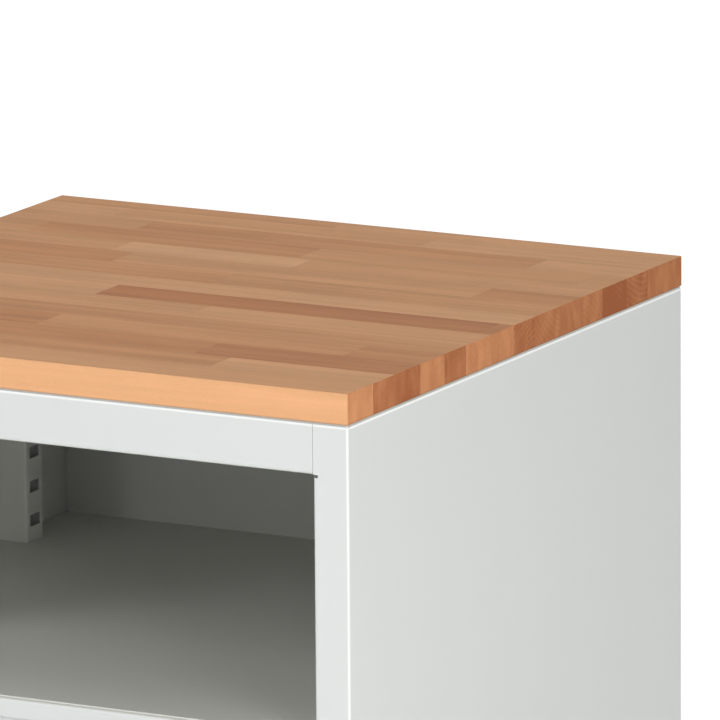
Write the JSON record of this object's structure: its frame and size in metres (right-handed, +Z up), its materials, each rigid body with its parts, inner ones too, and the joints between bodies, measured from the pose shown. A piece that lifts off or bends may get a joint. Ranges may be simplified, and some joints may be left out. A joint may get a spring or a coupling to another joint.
{
  "type": "multi-drawer cabinet",
  "caption": "Free-standing sheet-steel cabinet with full-extension drawers under an open slotted bay, a solid beech worktop, a central lock, a recessed plinth and levelling feet.",
  "frame": {"origin": "on the floor, under the middle of the casing", "axes": "+Z up, the front with the drawers faces -Y, +X is the right side seen from the front"},
  "size_m": [0.7, 0.7, 1.035],
  "materials": {
    "beech": "solid staved beech board, clear satin lacquer",
    "casing_paint": "light grey powder coat, satin",
    "interior_paint": "light grey powder coat, matt",
    "plinth_paint": "dark grey powder coat, matt",
    "front_paint": "light grey powder coat, satin",
    "tray_paint": "grey powder coat, satin",
    "grip_aluminium": "extruded, natural anodised, satin",
    "black_plastic": "fine moulded texture",
    "runner_zinc": "bright zinc plate",
    "lock_chrome": "chrome plate",
    "zinc_steel": "zinc plate"
  },
  "bodies": {
    "casing": {"back_panel": "interior_paint", "bay_floor": "interior_paint", "bay_floor_brackets": "zinc_steel", "bottom_rail": "casing_paint", "divider_rail": "casing_paint", "drawer_1_cabinet_rails": "runner_zinc", "drawer_2_cabinet_rails": "runner_zinc", "drawer_3_cabinet_rails": "runner_zinc", "drawer_4_cabinet_rails": "runner_zinc", "drawer_5_cabinet_rails": "runner_zinc", "floor_panel": "interior_paint", "foot_pads": "black_plastic", "foot_studs": "zinc_steel", "front_left_upright": "interior_paint", "front_right_upright": "interior_paint", "left_side_panel": "casing_paint", "lock_bar_guides": "zinc_steel", "lock_housing": "lock_chrome", "plinth_frame": "plinth_paint", "rear_left_upright": "interior_paint", "rear_right_upright": "interior_paint", "right_side_panel": "casing_paint", "top_panel": "interior_paint", "top_rail": "casing_paint", "worktop": "beech", "worktop_screws": "zinc_steel"},
    "lock": {"lock_plug": "lock_chrome", "lock_cam": "zinc_steel"},
    "lock_bar": {"lock_bar": "zinc_steel", "lock_tabs": "zinc_steel"},
    "drawer_1": {"drawer_1_tray": "tray_paint", "drawer_1_front": "front_paint", "drawer_1_grip": "grip_aluminium", "drawer_1_grip_caps": "black_plastic", "drawer_1_drawer_rails": "runner_zinc"},
    "drawer_1_middle": {"drawer_1_middle_rails": "runner_zinc"},
    "drawer_2": {"drawer_2_tray": "tray_paint", "drawer_2_front": "front_paint", "drawer_2_grip": "grip_aluminium", "drawer_2_grip_caps": "black_plastic", "drawer_2_drawer_rails": "runner_zinc"},
    "drawer_2_middle": {"drawer_2_middle_rails": "runner_zinc"},
    "drawer_3": {"drawer_3_tray": "tray_paint", "drawer_3_front": "front_paint", "drawer_3_grip": "grip_aluminium", "drawer_3_grip_caps": "black_plastic", "drawer_3_drawer_rails": "runner_zinc"},
    "drawer_3_middle": {"drawer_3_middle_rails": "runner_zinc"},
    "drawer_4": {"drawer_4_tray": "tray_paint", "drawer_4_front": "front_paint", "drawer_4_grip": "grip_aluminium", "drawer_4_grip_caps": "black_plastic", "drawer_4_drawer_rails": "runner_zinc"},
    "drawer_4_middle": {"drawer_4_middle_rails": "runner_zinc"},
    "drawer_5": {"drawer_5_tray": "tray_paint", "drawer_5_front": "front_paint", "drawer_5_grip": "grip_aluminium", "drawer_5_grip_caps": "black_plastic", "drawer_5_drawer_rails": "runner_zinc"},
    "drawer_5_middle": {"drawer_5_middle_rails": "runner_zinc"}
  },
  "joints": [
    {"name": "drawer_1_slide", "type": "slide", "parent": "casing", "child": "drawer_1", "axis": [0, -1, 0], "range_m": [0, 0.6]},
    {"name": "drawer_1_middle_slide", "type": "slide", "parent": "casing", "child": "drawer_1_middle", "axis": [0, -1, 0], "range_m": [0, 0.3]},
    {"name": "drawer_2_slide", "type": "slide", "parent": "casing", "child": "drawer_2", "axis": [0, -1, 0], "range_m": [0, 0.6]},
    {"name": "drawer_2_middle_slide", "type": "slide", "parent": "casing", "child": "drawer_2_middle", "axis": [0, -1, 0], "range_m": [0, 0.3]},
    {"name": "drawer_3_slide", "type": "slide", "parent": "casing", "child": "drawer_3", "axis": [0, -1, 0], "range_m": [0, 0.6]},
    {"name": "drawer_3_middle_slide", "type": "slide", "parent": "casing", "child": "drawer_3_middle", "axis": [0, -1, 0], "range_m": [0, 0.3]},
    {"name": "drawer_4_slide", "type": "slide", "parent": "casing", "child": "drawer_4", "axis": [0, -1, 0], "range_m": [0, 0.6]},
    {"name": "drawer_4_middle_slide", "type": "slide", "parent": "casing", "child": "drawer_4_middle", "axis": [0, -1, 0], "range_m": [0, 0.3]},
    {"name": "drawer_5_slide", "type": "slide", "parent": "casing", "child": "drawer_5", "axis": [0, -1, 0], "range_m": [0, 0.6]},
    {"name": "drawer_5_middle_slide", "type": "slide", "parent": "casing", "child": "drawer_5_middle", "axis": [0, -1, 0], "range_m": [0, 0.3]},
    {"name": "lock_turn", "type": "hinge", "parent": "casing", "child": "lock", "pos_m": [0.3315, -0.35, 0.695], "axis": [0, 1, 0], "range_deg": [0, 90]},
    {"name": "lock_bar_slide", "type": "slide", "parent": "casing", "child": "lock_bar", "axis": [0, 0, -1], "range_m": [0, 0.008]}
  ],
  "couplings": [
    {"joint": "drawer_1_middle_slide", "follows": "drawer_1_slide", "ratio": 0.5},
    {"joint": "drawer_2_middle_slide", "follows": "drawer_2_slide", "ratio": 0.5},
    {"joint": "drawer_3_middle_slide", "follows": "drawer_3_slide", "ratio": 0.5},
    {"joint": "drawer_4_middle_slide", "follows": "drawer_4_slide", "ratio": 0.5},
    {"joint": "drawer_5_middle_slide", "follows": "drawer_5_slide", "ratio": 0.5},
    {"joint": "lock_turn", "follows": "lock_bar_slide", "rad_per_m": 196.35}
  ]
}
